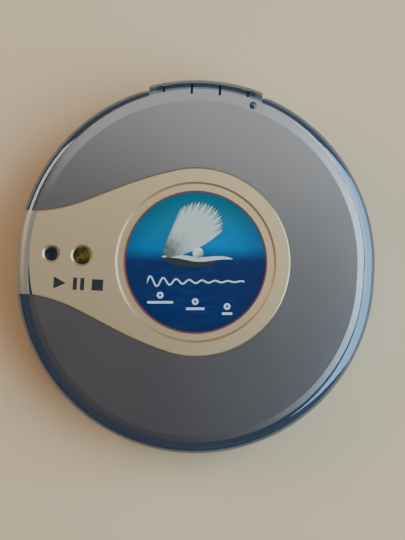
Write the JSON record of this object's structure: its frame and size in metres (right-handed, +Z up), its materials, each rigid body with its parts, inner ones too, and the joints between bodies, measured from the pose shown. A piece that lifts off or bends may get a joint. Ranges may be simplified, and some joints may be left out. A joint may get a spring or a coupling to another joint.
{
  "type": "portable cd player",
  "caption": "Round portable disc player with a hinged clear-rimmed lid, metal trim band, side keys, sprung latch, spindle, sliding pickup and battery door.",
  "frame": {"origin": "middle of the footprint's bounding box, on the surface that the feet stand on", "axes": "+Z up; +Y towards the lid hinge; +X towards the control keys; the spindle axis is 1.9 mm behind the origin"},
  "size_m": [0.1348, 0.1402, 0.0285],
  "materials": {
    "base_plastic": "moulded, satin",
    "deck_plastic": "moulded, fine grain",
    "panel_plastic": "moulded, satin",
    "clear_lid": "clear tinted, polished",
    "silver_paint": "silver metallic lacquer",
    "champagne_metal": "champagne anodised, satin",
    "cap_plastic": "champagne lacquer, satin",
    "label_print": "printed, clear coated",
    "label_edge": "tinted red",
    "smoke_window": "smoked, polished",
    "olive_window": "olive tint, polished",
    "black_plastic": "moulded",
    "key_plastic": "silver lacquer",
    "door_plastic": "moulded, satin",
    "gear_plastic": "moulded natural",
    "circuit_board": "solder mask",
    "cell_jacket": "wrapped jacket",
    "steel": "bright",
    "chassis_plate": "zinc plated",
    "ball_chrome": "polished",
    "rubber": "moulded",
    "lens_glass": "polished",
    "led_lens": "diffused"
  },
  "bodies": {
    "player_body": {"base_shell": "base_plastic", "deck": "deck_plastic", "socket_panel": "panel_plastic", "key_panel": "panel_plastic", "headphone_jack": "black_plastic", "line_out_jack": "black_plastic", "dc_jack": "black_plastic", "main_board": "circuit_board", "board_chips": "black_plastic", "key_switches": "black_plastic", "battery_cells": "cell_jacket", "battery_contacts": "steel", "mech_chassis": "chassis_plate", "damper_grommets": "rubber", "mech_screws": "steel", "base_screws": "steel", "spindle_motor": "steel", "guide_rods": "steel", "sled_motor": "steel", "limit_switch": "black_plastic", "status_led": "led_lens", "rubber_feet": "rubber", "hold_switch_body": "black_plastic", "latch_spring": "steel", "lid_switch_body": "black_plastic", "hinge_pin": "steel", "hinge_springs": "steel"},
    "lid": {"lid_shell": "clear_lid", "lid_panel": "silver_paint", "lid_hinge_bracket": "black_plastic", "lid_hook": "black_plastic", "trim_plate": "champagne_metal", "trim_cap": "cap_plastic", "small_window": "smoke_window", "large_window": "olive_window", "label_disc": "label_print", "label_edge_ring": "label_edge"},
    "battery_door": {"battery_door": "door_plastic"},
    "latch": {"open_knob": "key_plastic", "latch_bar": "black_plastic"},
    "volume_down_key": {"volume_down_key": "key_plastic"},
    "volume_up_key": {"volume_up_key": "key_plastic"},
    "previous_key": {"previous_key": "key_plastic"},
    "next_key": {"next_key": "key_plastic"},
    "stop_key": {"stop_key": "key_plastic"},
    "play_key": {"play_key": "key_plastic"},
    "hold_knob": {"hold_knob": "key_plastic"},
    "turntable": {"turntable_hub": "black_plastic", "spindle_shaft": "steel"},
    "hub_ball_1": {"hub_ball_1": "ball_chrome"},
    "hub_ball_2": {"hub_ball_2": "ball_chrome"},
    "hub_ball_3": {"hub_ball_3": "ball_chrome"},
    "pickup": {"pickup_body": "black_plastic", "pickup_rack": "gear_plastic"},
    "lens_mount": {"lens_holder": "gear_plastic", "lens": "lens_glass"},
    "feed_gear": {"feed_gear": "gear_plastic"},
    "motor_pinion": {"motor_pinion": "gear_plastic"},
    "lid_switch": {"lid_switch_plunger": "gear_plastic"}
  },
  "joints": [
    {"name": "lid_hinge", "type": "hinge", "parent": "player_body", "child": "lid", "pos_m": [0, 0.0659, 0.0187], "axis": [-1, 0, 0], "range_deg": [0, 80]},
    {"name": "open_slide", "type": "slide", "parent": "player_body", "child": "latch", "axis": [-1, 0, 0], "range_m": [0, 0.004], "stiffness_N_per_m": 150, "springref_m": -0.001, "deforming": ["latch_spring"]},
    {"name": "battery_door_hinge", "type": "hinge", "parent": "player_body", "child": "battery_door", "pos_m": [0, -0.0305, 0.0023], "axis": [1, 0, 0], "range_deg": [0, 90]},
    {"name": "volume_down_press", "type": "slide", "parent": "player_body", "child": "volume_down_key", "axis": [-0.8572, 0.515, 0], "range_m": [0, 0.0005], "stiffness_N_per_m": 1200, "springref_m": -0.0002},
    {"name": "volume_up_press", "type": "slide", "parent": "player_body", "child": "volume_up_key", "axis": [-0.9124, 0.4093, 0], "range_m": [0, 0.0005], "stiffness_N_per_m": 1200, "springref_m": -0.0002},
    {"name": "previous_press", "type": "slide", "parent": "player_body", "child": "previous_key", "axis": [-0.9547, 0.2977, 0], "range_m": [0, 0.0005], "stiffness_N_per_m": 1200, "springref_m": -0.0002},
    {"name": "next_press", "type": "slide", "parent": "player_body", "child": "next_key", "axis": [-0.9833, 0.1818, 0], "range_m": [0, 0.0005], "stiffness_N_per_m": 1200, "springref_m": -0.0002},
    {"name": "stop_press", "type": "slide", "parent": "player_body", "child": "stop_key", "axis": [-0.998, 0.0634, 0], "range_m": [0, 0.0005], "stiffness_N_per_m": 1200, "springref_m": -0.0002},
    {"name": "play_press", "type": "slide", "parent": "player_body", "child": "play_key", "axis": [-1, 0, 0], "range_m": [0, 0.0005], "stiffness_N_per_m": 1200, "springref_m": -0.0002},
    {"name": "hold_slide", "type": "slide", "parent": "player_body", "child": "hold_knob", "axis": [0.4226, -0.9063, 0], "range_m": [0, 0.002]},
    {"name": "turntable_spin", "type": "hinge", "parent": "player_body", "child": "turntable", "pos_m": [0, 0.0019, 0.0212], "axis": [0, 0, 1], "continuous": true},
    {"name": "hub_ball_1_press", "type": "slide", "parent": "turntable", "child": "hub_ball_1", "axis": [0, -1, 0], "range_m": [0, 0.00045], "stiffness_N_per_m": 300, "springref_m": -0.0002},
    {"name": "hub_ball_2_press", "type": "slide", "parent": "turntable", "child": "hub_ball_2", "axis": [0.866, 0.5, 0], "range_m": [0, 0.00045], "stiffness_N_per_m": 300, "springref_m": -0.0002},
    {"name": "hub_ball_3_press", "type": "slide", "parent": "turntable", "child": "hub_ball_3", "axis": [-0.866, 0.5, 0], "range_m": [0, 0.00045], "stiffness_N_per_m": 300, "springref_m": -0.0002},
    {"name": "pickup_slide", "type": "slide", "parent": "player_body", "child": "pickup", "axis": [1, 0, 0], "range_m": [0, 0.0335]},
    {"name": "lens_focus", "type": "slide", "parent": "pickup", "child": "lens_mount", "axis": [0, 0, 1], "range_m": [-0.0005, 0.0005], "stiffness_N_per_m": 100, "springref_m": 0.00002},
    {"name": "feed_gear_spin", "type": "hinge", "parent": "player_body", "child": "feed_gear", "pos_m": [0.021, 0.0278, 0.0098], "axis": [0, 0, 1], "range_deg": [-1, 549.4]},
    {"name": "motor_pinion_spin", "type": "hinge", "parent": "player_body", "child": "motor_pinion", "pos_m": [0.027, 0.03819, 0.0098], "axis": [0, 0, 1], "range_deg": [-1646.2, 1]},
    {"name": "lid_switch_press", "type": "slide", "parent": "player_body", "child": "lid_switch", "axis": [0, 0, -1], "range_m": [0, 0.0006], "stiffness_N_per_m": 120, "springref_m": -0.0003}
  ],
  "couplings": [
    {"joint": "feed_gear_spin", "follows": "pickup_slide", "rad_per_m": 285.71},
    {"joint": "motor_pinion_spin", "follows": "pickup_slide", "rad_per_m": -857.14}
  ]
}
